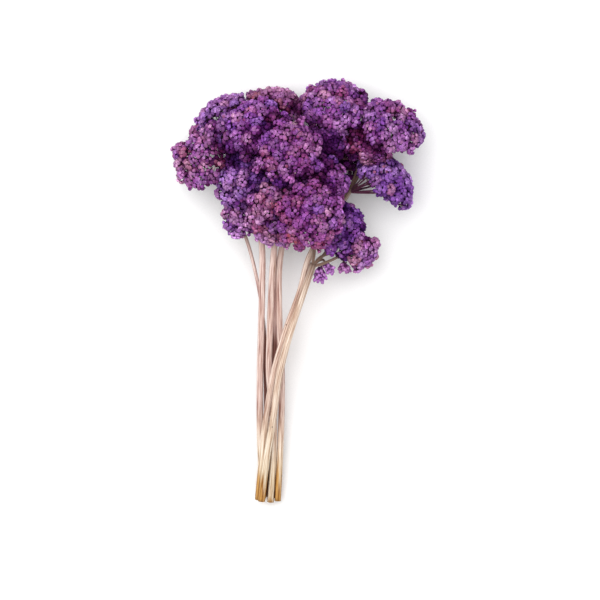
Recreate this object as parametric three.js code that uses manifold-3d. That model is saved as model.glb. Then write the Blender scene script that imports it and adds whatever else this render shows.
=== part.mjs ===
// A bunch of seven dried yarrow stalks, dyed purple, laid down loose on a table.
//
// +Z is up, and the table is the plane Z = 0. +Y runs from the cut ends to the flowers. The origin
// is on the table, under the middle of the bunch. Lengths are in millimetres.
//
// Each stalk is one ribbed stem that divides near its top into limbs, one for each flower head, and
// each limb into rays that hold the head from below. A head is a domed crowd of small flowers.

import * as THREE from "three";
import { ConvexHull } from "three/addons/math/ConvexHull.js";
import { mergeVertices } from "three/addons/utils/BufferGeometryUtils.js";
import Module from "manifold-3d";

const wasm = await Module();
wasm.setup();

// Driving dimensions of the stalks
const stemSides = 8; // every other corner is a rib
const stemSteps = 7;
const ribHeight = 0.35;
const neckTaper = 0.93; // a stem's radius at its crown, as a share of that at its foot
const limbRadius = 1.55;
const limbShare = 0.85; // the most a limb's radius can be, as a share of its crown's
const limbSides = 4;
const limbSteps = 3;
const bendSteps = 4; // points read off a limb's curve
const rayRadius = 0.9;
const rayTaper = 0.8;
const raySides = 3;
const rayCount = 3;
const rayStagger = 2.4; // how far apart the rays leave their limb
const rayCircle = 0.5; // where the rays meet the head, as a share of its radius
const tipGap = 0.9; // from a limb's end to the underside of its head
const hubDepth = 0.85; // how far under its head a limb divides into rays, as a share of the radius

// Driving dimensions of the heads
const flowerPitch = 10.3; // over twice life size: a real flower head is 4 mm across
const hiddenPitch = 12; // on the two heads at the back
const smallPitch = 0.6; // the pitch on a small cluster, as a share of its radius
const hexagonShare = 0.866; // a flower's share of the square of the pitch
const flowerDepth = 5.5; // how far a flower stands out of the head
const flowerInset = 0.3; // how far a flower's top is drawn in from its edge, as a share of its width
const flowerCrown = 1.6; // how far the middle of a flower stands above the edge of its top
const cornerMerge = 0.41; // corners nearer together than this share of the pitch are made one
const wander = 0.9; // how far a flower strays from the even spiral
const unevenness = 1.6; // how far flowers differ in height
const lumpDepth = 2.6; // how deep the grooves between a head's own clusters are
const clusterSize = 7; // flowers in a cluster
const fewestClusters = 3;
const reliefShare = 0.35; // the most of its ball's radius that a small head's flowers stand out
const domeOverhang = 1.08; // the flowers run this far past the rim, as a share of its lean
const steepest = 0.98; // the sine of the most that a head's dome can curve over
const rimWave = 0.1; // how far the edge of a head comes in and goes out, as a share of its lean
const rimLobes = 3;
const lowestWay = -0.9; // the height on a unit ball where the spiral of flowers ends
const rimMargin = 0.6; // how far the outermost flowers reach past the last middle, as a share of the pitch
const fenceMargin = 2.5; // spots this many pitches past the edge shape the outermost flowers' sides
const headDepth = 0.5; // how far a head's underside hangs below its rim, as a share of its radius
const pressedDepth = 4.2; // how far a flower stands out where another head presses on it
const thinnest = 3; // the least that a head is pressed to, from its underside
const reachStep = 0.7;
const roomSides = 10;
const roomSteps = 3;
const seatSides = 6;
const clearance = 0.35; // between pieces that touch

// Where each stem runs, from its cut end to its crown, and its radius at the cut end
const stems = [
  {
    name: "stalk_1",
    radius: 1.5,
    run: [
      [-24.05, -168, 1.3],
      [-25.6, -111, 5.2],
      [-26.3, -71, 9],
      [-27.2, -31, 14.6],
      [-31.2, 1, 20],
      [-40, 38, 28],
      [-48, 58, 34],
    ],
  },
  {
    name: "stalk_2",
    radius: 2.7,
    run: [
      [-28.3, -169, 2.55],
      [-30.6, -111, 9.5],
      [-30.4, -65, 18],
      [-28.6, 0, 31],
      [-28.6, 36, 38],
      [-34, 80, 44],
    ],
  },
  {
    name: "stalk_3",
    radius: 2.3,
    run: [
      [-17.6, -169, 2.15],
      [-19.2, -111, 7],
      [-18.6, -48, 14.5],
      [-17.6, 0, 22],
      [-18.5, 33, 26],
      [-16, 78, 29],
    ],
  },
  {
    name: "stalk_4",
    radius: 2.65,
    run: [
      [-22.1, -172, 7.4],
      [-19.2, -117, 14],
      [-23.2, -65, 21],
      [-22.4, -31, 27.5],
      [-18.8, 33, 41],
      [-13, 66, 48],
    ],
  },
  {
    name: "stalk_5",
    radius: 2.55,
    run: [
      [-16.2, -171, 7.5],
      [-13.3, -111, 14],
      [-12.8, -65, 21],
      [-14.4, -31, 26.5],
      [-13, 33, 34],
      [4, 84, 38],
    ],
  },
  {
    name: "stalk_6",
    radius: 2.6,
    run: [
      [-32.2, -170, 6.8],
      [-28.9, -135, 12.8],
      [-26.6, -111, 17.9],
      [-19, -65, 28.9],
      [-9.2, -31, 35],
      [2, 0, 37.4],
      [9.3, 27, 40],
      [24, 52, 38],
      [42.5, 82, 30],
    ],
  },
  {
    name: "stalk_7",
    radius: 2.85,
    run: [
      [-29.4, -171, 11.9],
      [-25, -135, 17.2],
      [-20.9, -111, 22.6],
      [-14, -65, 33.1],
      [-5, -31, 39.7],
      [12.8, 22, 47],
    ],
  },
];

// The heads, the uppermost first: a head gives way to those listed before it.
// "at" is the middle of the rim, "faces" the way the dome looks, and a limb passes through "via".
// "hub" and "pitch" are given where a head differs from hubDepth and flowerPitch.
const heads = [
  {
    name: "head_centre_low",
    stalk: "stalk_7",
    dye: "plum",
    at: [10, 58, 74],
    faces: [0.1, -0.25, 1],
    radius: 29,
    rise: 14,
  },
  {
    name: "head_centre_high",
    stalk: "stalk_4",
    dye: "mauve",
    at: [-6, 109, 70],
    faces: [0.1, 0.05, 1],
    radius: 28,
    rise: 13,
  },
  {
    name: "head_lower_middle",
    stalk: "stalk_4",
    dye: "rose",
    at: [-18, 60, 64],
    faces: [-0.15, -0.35, 0.95],
    radius: 27,
    rise: 13,
  },
  {
    name: "head_upper_left_front",
    stalk: "stalk_2",
    dye: "purple",
    at: [-33, 130, 58],
    faces: [-0.1, 0.4, 0.9],
    radius: 29,
    rise: 14,
  },
  {
    name: "head_centre",
    stalk: "stalk_7",
    dye: "purple",
    at: [20, 86, 58],
    faces: [0.35, 0.1, 0.95],
    radius: 25,
    rise: 12,
  },
  {
    name: "head_left",
    stalk: "stalk_1",
    dye: "violet",
    at: [-45, 86, 54],
    faces: [-0.45, -0.05, 0.9],
    radius: 26,
    rise: 13,
  },
  {
    name: "head_lower_left",
    stalk: "stalk_2",
    dye: "mauve",
    at: [-45.5, 55, 47.5],
    faces: [-0.35, -0.45, 0.8],
    radius: 20,
    rise: 10,
    via: [[-36, 71, 35], [-38, 66, 31]],
  },
  {
    name: "head_inner_right",
    stalk: "stalk_5",
    dye: "violet",
    at: [24, 121, 50],
    faces: [0.1, 0.1, 1],
    radius: 20,
    rise: 9,
  },
  {
    name: "head_far_right",
    stalk: "stalk_6",
    dye: "purple",
    at: [76.5, 133.5, 46],
    faces: [0.42, 0.6, 0.68],
    radius: 29.5,
    rise: 15,
  },
  {
    name: "head_far_left",
    stalk: "stalk_1",
    dye: "mauve",
    at: [-78, 111, 40],
    faces: [-0.5, 0.3, 0.8],
    radius: 30,
    rise: 14,
  },
  {
    name: "head_top_right",
    stalk: "stalk_5",
    dye: "purple",
    at: [31, 151, 44],
    faces: [0.1, 0.75, 0.65],
    radius: 31,
    rise: 15,
  },
  {
    name: "head_upper_left",
    stalk: "stalk_2",
    dye: "purple",
    at: [-60.5, 137.5, 38],
    faces: [-0.5, 0.6, 0.62],
    radius: 30,
    rise: 15,
  },
  {
    name: "head_right_inner",
    stalk: "stalk_6",
    dye: "rose",
    at: [58, 121, 46],
    faces: [0.15, -0.2, 0.95],
    radius: 24,
    rise: 12,
  },
  {
    name: "head_low_right_lobe",
    stalk: "stalk_7",
    dye: "mauve",
    at: [54, 33, 33],
    faces: [0.75, -0.25, 0.6],
    radius: 19,
    rise: 12,
    via: [[23, 23, 43], [33, 28, 36]],
  },
  {
    name: "head_low_right",
    stalk: "stalk_7",
    dye: "violet",
    at: [37.5, 49, 41],
    faces: [0.65, -0.05, 0.75],
    radius: 25,
    rise: 14,
    via: [[24, 34, 37]],
  },
  {
    name: "head_right",
    stalk: "stalk_6",
    dye: "violet",
    at: [70.5, 89, 31],
    faces: [0.62, 0.75, 0.25],
    radius: 29.5,
    rise: 20.5,
    hub: 0.62,
    via: [[51.5, 80, 29]],
  },
  {
    name: "head_top_left",
    stalk: "stalk_3",
    dye: "rose",
    at: [-19, 149, 36],
    faces: [0.05, 0.8, 0.6],
    radius: 30,
    rise: 13,
  },
  {
    name: "head_under_left",
    stalk: "stalk_3",
    dye: "mauve",
    at: [-32, 107, 12],
    faces: [-0.1, 0.2, -1],
    radius: 32,
    rise: 14,
    pitch: hiddenPitch,
  },
  {
    name: "head_under_right",
    stalk: "stalk_5",
    dye: "purple",
    at: [31, 112, 12],
    faces: [0.2, 0.2, -1],
    radius: 32,
    rise: 14,
    pitch: hiddenPitch,
  },
  {
    name: "bud_cluster_left",
    stalk: "stalk_7",
    dye: "mauve",
    at: [22, 15.5, 39],
    faces: [0, -1, 0.1],
    radius: 9,
    rise: 8,
  },
  {
    name: "bud_cluster_right",
    stalk: "stalk_7",
    dye: "plum",
    at: [38, 18, 26],
    faces: [0.1, -1, 0.1],
    radius: 7.5,
    rise: 6.5,
  },
];

// The dyed flowers' colours, and the undyed stems'
const dyes = { violet: 0x5f3a96, purple: 0x74408f, mauve: 0x8b5090, plum: 0x7c3f77, rose: 0x8a4a7c };
const straw = 0xd8bba8;
const flowerRoughness = 0.9;
const strawRoughness = 0.8;

const up = new THREE.Vector3(0, 0, 1);
const goldenAngle = Math.PI * (3 - Math.sqrt(5));

// A seeded random draw from 0 to 1, the same every time the bunch is built
function drawer(seed) {
  let state = seed;
  return () => {
    state = (state + 0x6d2b79f5) | 0;
    let mixed = Math.imul(state ^ (state >>> 15), 1 | state);
    mixed = (mixed + Math.imul(mixed ^ (mixed >>> 7), 61 | mixed)) ^ mixed;
    return ((mixed ^ (mixed >>> 14)) >>> 0) / 4294967296;
  };
}

function solidOf(geometry) {
  geometry.deleteAttribute("normal");
  geometry.deleteAttribute("uv");
  const merged = mergeVertices(geometry, 1e-4);
  const mesh = new wasm.Mesh({
    numProp: 3,
    vertProperties: merged.attributes.position.array,
    triVerts: new Uint32Array(merged.index.array),
  });
  return new wasm.Manifold(mesh);
}

function geometryOf(solid) {
  const mesh = solid.getMesh();
  const geometry = new THREE.BufferGeometry();
  geometry.setAttribute("position", new THREE.BufferAttribute(mesh.vertProperties, 3));
  geometry.setIndex(new THREE.BufferAttribute(mesh.triVerts, 1));
  return geometry.toNonIndexed();
}

// A tapered tube along a curve: a cylinder whose rings are moved to the curve and turned with it
function tube(points, startRadius, endRadius, sides, steps, rib = 0) {
  const curve = new THREE.CatmullRomCurve3(points, false, "centripetal");
  const frames = curve.computeFrenetFrames(steps, false);
  const geometry = new THREE.CylinderGeometry(1, 1, 1, sides, steps);
  const position = geometry.attributes.position;
  for (let i = 0; i < position.count; i += 1) {
    const along = 0.5 + position.getY(i);
    const step = Math.round(along * steps);
    const side = Math.round((Math.atan2(position.getX(i), position.getZ(i)) * sides) / (2 * Math.PI));
    const radius = THREE.MathUtils.lerp(startRadius, endRadius, along) - (side % 2 ? rib : 0);
    const place = curve.getPointAt(along);
    place.addScaledVector(frames.normals[step], position.getZ(i) * radius);
    place.addScaledVector(frames.binormals[step], position.getX(i) * radius);
    position.setXYZ(i, place.x, place.y, place.z);
  }
  return solidOf(geometry);
}

// A head's own frame: the ball that its dome is part of, how the head is turned, how far its flowers
// lean from its middle, and where on its axis the underside is lowest
function frameOf(head) {
  const axis = new THREE.Vector3(...head.faces).normalize();
  const at = new THREE.Vector3(...head.at);
  const ball = (head.radius ** 2 + head.rise ** 2) / (2 * head.rise);
  return {
    axis,
    at,
    ball,
    relief: Math.min(flowerDepth + lumpDepth, reliefShare * ball),
    under: ball - head.rise - headDepth * head.radius,
    turn: new THREE.Quaternion().setFromUnitVectors(up, axis),
    centre: at.clone().addScaledVector(axis, head.rise - ball),
    hub: at.clone().addScaledVector(axis, -(head.hub ?? hubDepth) * head.radius),
    lean: Math.asin(Math.min(steepest, head.radius / ball)) * domeOverhang,
  };
}

// How far from the ball's middle a way leaves through the cone of a head's underside
function undersideAt(head, way) {
  const { ball, relief, under, lean } = frameOf(head);
  const out = way.angleTo(up);
  const slope = (Math.cos(lean) * (ball - relief) - under) / (Math.sin(lean) * (ball - relief));
  return Math.max(under / (Math.cos(out) - slope * Math.sin(out)), 0);
}

// Ways from the middle of a ball that spread evenly, in a spiral, over its cap and "reach" times as
// much of it: the ways are directions of length one
function spiral(lean, count, reach) {
  const ways = [];
  for (let k = 0; k < count * reach; k += 1) {
    const height = 1 - ((1 - Math.cos(lean)) * (k + 0.5)) / count;
    if (height < lowestWay) break;
    const out = Math.sqrt(1 - height ** 2);
    ways.push(new THREE.Vector3(out * Math.cos(k * goldenAngle), out * Math.sin(k * goldenAngle), height));
  }
  return ways;
}

// How far out a way goes from the middle of a head's ball when the heads in front press it down
function pressedReach(head, way, inFront) {
  const { ball, turn, centre } = frameOf(head);
  const out = way.clone().applyQuaternion(turn);
  const least = Math.min(undersideAt(head, way) + thinnest, ball);
  const isHeld = (reach) => {
    const point = centre.clone().addScaledVector(out, reach);
    return inFront.some((other) => holds(other, point));
  };
  let reach = ball;
  while (reach > least && isHeld(reach)) reach -= reachStep;
  return reach;
}

// A head: every flower is the cell nearest to it on the dome, raised from the grooves that it shares
// with its neighbours, and the edge of the outermost cells closes to a point under the head
function headSolid(head, seed, inFront) {
  const { ball, lean, turn, centre, relief, under } = frameOf(head);
  const draw = drawer(seed);
  const scale = relief / (flowerDepth + lumpDepth);
  const pitch = head.pitch ?? Math.min(flowerPitch, smallPitch * head.radius);
  const capShare = 1 - Math.cos(lean);
  const count = Math.round((2 * Math.PI * ball ** 2 * capShare) / (hexagonShare * pitch ** 2));
  const clusters = Math.max(fewestClusters, Math.round(count / clusterSize));
  const clusterWays = spiral(lean, clusters, 1);
  const clusterReach = Math.acos(1 - capShare / clusters);
  const phase = draw() * 2 * Math.PI;
  const margin = (fenceMargin * pitch) / ball;
  const points = [new THREE.Vector3(0, 0, -1)];
  const flowers = new Map();
  for (const way of spiral(lean, count, Infinity)) {
    way.x += ((draw() - 0.5) * 2 * wander) / ball;
    way.y += ((draw() - 0.5) * 2 * wander) / ball;
    way.normalize();
    const out = way.angleTo(up);
    const edge = lean * (1 + rimWave * Math.sin(rimLobes * Math.atan2(way.y, way.x) + phase));
    if (out < edge + margin) points.push(way);
    if (out > edge) continue;
    const nearest = Math.min(...clusterWays.map((c) => c.angleTo(way)));
    const groove = lumpDepth * Math.min(1, nearest / clusterReach) ** 2;
    flowers.set(way, { tip: ball - scale * (groove + unevenness * draw()), normals: [] });
  }
  for (const face of new ConvexHull().setFromPoints(points).faces) {
    let edge = face.edge;
    do {
      flowers.get(edge.head().point)?.normals.push(face.normal);
      edge = edge.next;
    } while (edge !== face.edge);
  }
  const corners = [];
  const cornerOf = (way) => {
    const found = corners.findIndex((c) => c.distanceTo(way) < (cornerMerge * pitch) / ball);
    return found >= 0 ? found : corners.push(way) - 1;
  };
  const edges = new Map();
  for (const [way, flower] of flowers) {
    const side = new THREE.Vector3(1, 0, 0).cross(way).normalize();
    const ahead = way.clone().cross(side);
    const angleOf = (v) => Math.atan2(v.dot(ahead), v.dot(side));
    const ring = flower.normals.sort((a, b) => angleOf(a) - angleOf(b)).map(cornerOf);
    flower.loop = ring.filter((c, i) => c !== ring[(i + 1) % ring.length]);
    flower.loop.forEach((c, i) => {
      const next = flower.loop[(i + 1) % flower.loop.length];
      edges.set(`${c} ${next}`, [c, next]);
    });
  }
  const raisedTo = (way, wanted, below) => {
    const pressed = pressedReach(head, way, inFront) - below;
    const least = undersideAt(head, way) + thinnest / 3;
    return way.clone().multiplyScalar(Math.min(wanted, Math.max(pressed, least)));
  };
  const vertices = corners.map((c) => raisedTo(c, ball - relief, pressedDepth));
  const faces = [];
  for (const [way, { tip, loop }] of flowers) {
    const first = vertices.length;
    for (const c of loop) {
      const out = corners[c].clone().lerp(way, flowerInset).normalize();
      vertices.push(raisedTo(out, tip - scale * flowerCrown, scale * flowerCrown));
    }
    const middle = vertices.push(raisedTo(way, tip, 0)) - 1;
    loop.forEach((c, i) => {
      const j = (i + 1) % loop.length;
      faces.push(c, loop[j], first + j, c, first + j, first + i, first + i, first + j, middle);
    });
  }
  const bottom = vertices.push(new THREE.Vector3(0, 0, under)) - 1;
  for (const [a, b] of edges.values()) {
    if (!edges.has(`${b} ${a}`)) faces.push(b, a, bottom);
  }
  const geometry = new THREE.BufferGeometry().setFromPoints(vertices);
  geometry.setIndex(faces);
  return solidOf(geometry.applyQuaternion(turn).translate(centre.x, centre.y, centre.z));
}

// A solid round a head's axis, from its profile in the frame of the head's ball
function turned(head, profile, sides) {
  const { turn, centre } = frameOf(head);
  const geometry = new THREE.LatheGeometry(profile, sides).rotateX(Math.PI / 2);
  return solidOf(geometry.applyQuaternion(turn).translate(centre.x, centre.y, centre.z));
}

const onProfile = (lean, reach) => new THREE.Vector2(Math.sin(lean) * reach, Math.cos(lean) * reach);

// The bounds of all the room that a head fills, with the clearance round it
function roomOf(head) {
  const { ball, relief, under, lean } = frameOf(head);
  return {
    spread: lean * (1 + rimWave) + (rimMargin * flowerPitch) / ball,
    outer: (ball + clearance) / Math.cos(Math.PI / roomSides),
    inner: ball - relief - clearance,
    lowest: under - clearance,
  };
}

function room(head) {
  const { spread, outer, inner, lowest } = roomOf(head);
  const profile = [new THREE.Vector2(0, lowest), onProfile(spread, inner)];
  for (let k = roomSteps; k >= 0; k -= 1) profile.push(onProfile((spread * k) / roomSteps, outer));
  return turned(head, profile, roomSides);
}

// Whether a point is in the room that a head fills
function holds(head, point) {
  const { centre, axis } = frameOf(head);
  const { spread, outer, inner, lowest } = roomOf(head);
  const out = point.clone().sub(centre);
  if (out.length() > outer || out.angleTo(axis) > spread) return false;
  const height = out.dot(axis);
  const share = Math.sqrt(out.lengthSq() - height ** 2) / (Math.sin(spread) * inner);
  return height > THREE.MathUtils.lerp(lowest, Math.cos(spread) * inner, share);
}

// The room over a head's underside, at its lowest, which its rays end against
function seat(head) {
  const { ball } = frameOf(head);
  const { spread, inner, lowest } = roomOf(head);
  const rim = onProfile(spread, inner);
  rim.y -= clearance;
  const top = [new THREE.Vector2(rim.x, ball), new THREE.Vector2(0, ball)];
  const profile = [new THREE.Vector2(0, lowest - clearance), rim, ...top];
  return turned(head, profile, seatSides);
}

// The stem of a stalk, from its cut end to its crown
function stemSolid(stem, grow) {
  const points = stem.run.map((p) => new THREE.Vector3(...p));
  return tube(points, stem.radius + grow, stem.radius * neckTaper + grow, stemSides, stemSteps, ribHeight);
}

// A limb, from the crown of its stem to the middle of its head, and the rays that leave it there
function limbSolid(stem, head, grow) {
  const [before, crown] = stem.run.slice(-2).map((p) => new THREE.Vector3(...p));
  const crownWay = crown.clone().sub(before).normalize();
  const neck = stem.radius * neckTaper;
  const start = crown.clone().addScaledVector(crownWay, -neck);
  const { hub, axis, turn, at } = frameOf(head);
  const radius = Math.min(limbRadius, neck * limbShare) + grow;
  const reach = start.distanceTo(hub) / 3;
  const bend = new THREE.CubicBezierCurve3(
    start,
    start.clone().addScaledVector(crownWay, reach),
    hub.clone().addScaledVector(axis, -reach),
    hub,
  );
  const via = head.via?.map((p) => new THREE.Vector3(...p));
  const run = via ? [start, ...via, hub] : bend.getPoints(bendSteps);
  const tip = at.clone().addScaledVector(axis, -headDepth * head.radius - tipGap);
  const pieces = [tube([...run, tip], radius, rayRadius + grow, limbSides, limbSteps)];
  for (let k = 0; k < rayCount; k += 1) {
    const angle = (2 * Math.PI * k) / rayCount;
    const out = new THREE.Vector3(Math.cos(angle), Math.sin(angle), 0).applyQuaternion(turn);
    const from = hub.clone().addScaledVector(axis, k * rayStagger);
    const to = at.clone().addScaledVector(out, rayCircle * head.radius);
    const ray = tube([from, to], rayRadius * rayTaper + grow, rayRadius + grow, raySides, 1);
    pieces.push(ray.subtract(seat(head)));
  }
  return wasm.Manifold.union(pieces);
}

const underTable = solidOf(new THREE.BoxGeometry(600, 600, 60).translate(0, 0, -30));
const bunch = new THREE.Group();

// A piece of the bunch: what of its solid is over the table, in the largest part that holds together
function addPiece(name, solid, color, roughness) {
  const [largest] = solid.subtract(underTable).decompose().sort((a, b) => b.volume() - a.volume());
  const material = new THREE.MeshStandardMaterial({ color, roughness, metalness: 0 });
  const mesh = new THREE.Mesh(geometryOf(largest), material);
  mesh.name = name;
  bunch.add(mesh);
}

const stalkOf = (head) => stems.find((stem) => stem.name === head.stalk);
const rooms = heads.map(room);
const grownStems = stems.map((stem) => stemSolid(stem, clearance));
const grownLimbs = heads.map((head) => limbSolid(stalkOf(head), head, clearance));

heads.forEach((head, i) => {
  let solid = headSolid(head, i + 1, heads.slice(0, i));
  const others = grownLimbs.filter((_, k) => k !== i);
  for (const cutter of [...rooms.slice(0, i), ...grownStems, ...others]) solid = solid.subtract(cutter);
  addPiece(head.name, solid, dyes[head.dye], flowerRoughness);
});
stems.forEach((stem) => {
  const own = heads.filter((head) => head.stalk === stem.name);
  const limbs = own.map((head) => limbSolid(stem, head, 0));
  addPiece(stem.name, wasm.Manifold.union([stemSolid(stem, 0), ...limbs]), straw, strawRoughness);
});

export default bunch;
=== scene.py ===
"""A bunch of dried yarrow, dyed purple, laid down on a pale table and seen from above.

Seven straw-coloured stalks fork into limbs, and each limb carries one flat-domed head. A head is
made as it grows: branches run out from the end of the limb to small clusters, and each cluster is a
little dome of flowers on short pedicels. Lengths in the tables are millimetres; the frame is the
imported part's, with +Z up and +Y from the cut ends to the flowers.
"""

import math
from collections import namedtuple

import bmesh
import bpy
import numpy as np
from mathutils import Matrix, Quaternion, Vector


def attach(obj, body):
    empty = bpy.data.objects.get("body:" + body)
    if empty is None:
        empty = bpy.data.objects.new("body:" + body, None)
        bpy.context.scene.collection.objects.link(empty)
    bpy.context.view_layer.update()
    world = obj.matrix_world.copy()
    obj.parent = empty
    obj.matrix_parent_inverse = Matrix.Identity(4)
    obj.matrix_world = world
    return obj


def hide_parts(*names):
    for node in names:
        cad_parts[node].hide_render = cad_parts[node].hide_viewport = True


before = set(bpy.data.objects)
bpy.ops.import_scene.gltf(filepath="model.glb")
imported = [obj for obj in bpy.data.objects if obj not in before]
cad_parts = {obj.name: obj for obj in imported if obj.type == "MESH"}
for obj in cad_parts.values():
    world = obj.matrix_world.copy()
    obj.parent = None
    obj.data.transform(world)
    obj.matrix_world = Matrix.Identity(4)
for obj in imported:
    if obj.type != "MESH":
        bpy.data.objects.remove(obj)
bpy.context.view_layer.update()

MM = 0.001
UP = Vector((0, 0, 1))
GOLDEN_ANGLE = math.pi * (3 - math.sqrt(5))
WORD = 0xFFFFFFFF  # 32 bits

# The stalks and heads

# a stalk's stem: its run goes from its cut end to its crown, ochre is how far up from the cut end the
# straw has turned ochre, and pink is how pink it is above that
Stem = namedtuple("Stem", "radius ochre pink run")

STEMS = {
    "stalk_1": Stem(
        radius=1.5, ochre=22, pink=1,
        run=[
            (-24.05, -168, 1.55), (-25.6, -111, 5.2), (-26.3, -71, 9), (-27.2, -31, 14.6), (-31.2, 1, 20),
            (-40, 38, 28), (-48, 58, 34),
        ],
    ),
    "stalk_2": Stem(
        radius=2.7, ochre=22, pink=0.9,
        run=[
            (-28.3, -169, 2.55), (-30.6, -111, 9.5), (-30.4, -65, 18), (-28.6, 0, 31), (-28.6, 36, 38),
            (-34, 80, 44),
        ],
    ),
    "stalk_3": Stem(
        radius=2.3, ochre=20, pink=1,
        run=[
            (-17.6, -169, 2.15), (-19.2, -111, 7), (-18.6, -48, 14.5), (-17.6, 0, 22), (-18.5, 33, 26),
            (-16, 78, 29),
        ],
    ),
    "stalk_4": Stem(
        radius=2.65, ochre=4, pink=0.85,
        run=[
            (-22.1, -172, 7.4), (-19.2, -117, 14), (-23.2, -65, 21), (-22.4, -31, 27.5), (-18.8, 33, 41),
            (-13, 66, 48),
        ],
    ),
    "stalk_5": Stem(
        radius=2.55, ochre=22, pink=0.85,
        run=[
            (-16.2, -171, 7.5), (-13.3, -111, 14), (-12.8, -65, 21), (-14.4, -31, 26.5), (-13, 33, 34),
            (4, 84, 38),
        ],
    ),
    "stalk_6": Stem(
        radius=2.6, ochre=17, pink=0.65,
        run=[
            (-32.2, -170, 6.8), (-28.9, -135, 12.8), (-26.6, -111, 17.9), (-19, -65, 28.9),
            (-9.2, -31, 35), (2, 0, 37.4), (9.3, 27, 40), (24, 52, 38), (42.5, 82, 30),
        ],
    ),
    "stalk_7": Stem(
        radius=2.85, ochre=15, pink=0.45,
        run=[
            (-29.4, -171, 11.9), (-25, -135, 17.2), (-20.9, -111, 22.6), (-14, -65, 33.1),
            (-5, -31, 39.7), (12.8, 22, 47),
        ],
    ),
}

DOME_OVERHANG = 1.08  # how far round a dome goes, as a share of the way to its rim
CROWD_DEPTH = 8.1  # how deep the crowd of flowers is on a large head


class Head:
    """A flower head: "at" is the middle of its rim and "faces" the way its dome looks. Its dome is
    part of a ball. "via" leads its limb, which ends at the hub, and "fan" is how much of the limb
    its boughs spring from."""

    def __init__(
        self, name, stalk, slot, at, faces, radius, rise, blush, faded, rust, thinned=0.0, via=(), hub=0.85,
        fan=0.35,
    ):
        self.name = name
        self.stalk = stalk
        self.slot = slot
        self.at = Vector(at)
        self.axis = Vector(faces).normalized()
        self.radius = radius
        self.blush = blush
        self.faded = faded
        self.rust = rust
        self.thinned = thinned
        self.fan = fan
        self.via = [Vector(p) for p in via]
        self.ball = (radius**2 + rise**2) / (2 * rise)
        self.turn = UP.rotation_difference(self.axis)
        self.centre = self.at + self.axis * (rise - self.ball)
        if isinstance(hub, tuple):
            # a hub given as a place is the limb's very end
            self.hub = Vector(hub)
            self.tip = self.hub
        else:
            self.hub = self.at - self.axis * (hub * radius)
            self.tip = self.at - self.axis * (0.5 * radius + 0.9)
        self.lean = math.asin(min(0.98, radius / self.ball)) * DOME_OVERHANG
        self.relief = min(CROWD_DEPTH, 0.35 * self.ball)
        self.under = self.ball - rise - 0.5 * radius


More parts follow.
